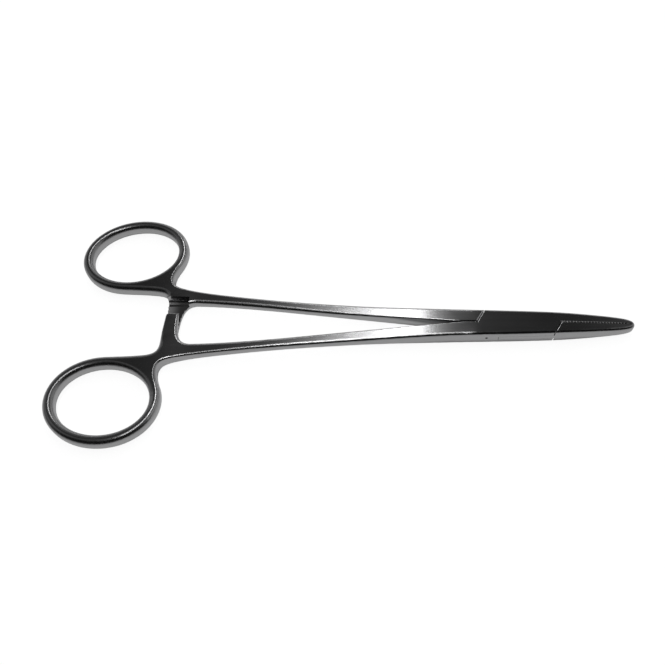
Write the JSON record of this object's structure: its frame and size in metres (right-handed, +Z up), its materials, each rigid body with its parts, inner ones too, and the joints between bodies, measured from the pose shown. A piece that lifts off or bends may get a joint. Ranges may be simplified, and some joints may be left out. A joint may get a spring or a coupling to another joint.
{
  "type": "needle holder",
  "caption": "Straight box-lock needle holder with finger rings, a ratchet between the handles and serrated jaws.",
  "frame": {"origin": "on the pivot axis, on the plane that the underside of the box lies on", "axes": "+X from the finger rings to the jaw tip, +Z up along the pivot axis, +Y towards the ring of the tongue half"},
  "size_m": [0.16, 0.076, 0.0048],
  "materials": {
    "satin_steel": "satin",
    "pin_steel": "ground flush"
  },
  "bodies": {
    "box": {"box_half": "satin_steel", "pivot_pin": "pin_steel"},
    "tongue": {"tongue_half": "satin_steel"}
  },
  "joints": [
    {"name": "box_lock", "type": "hinge", "parent": "box", "child": "tongue", "pos_m": [0, 0, 0.0024], "axis": [0, 0, -1], "range_deg": [0, 30]}
  ]
}
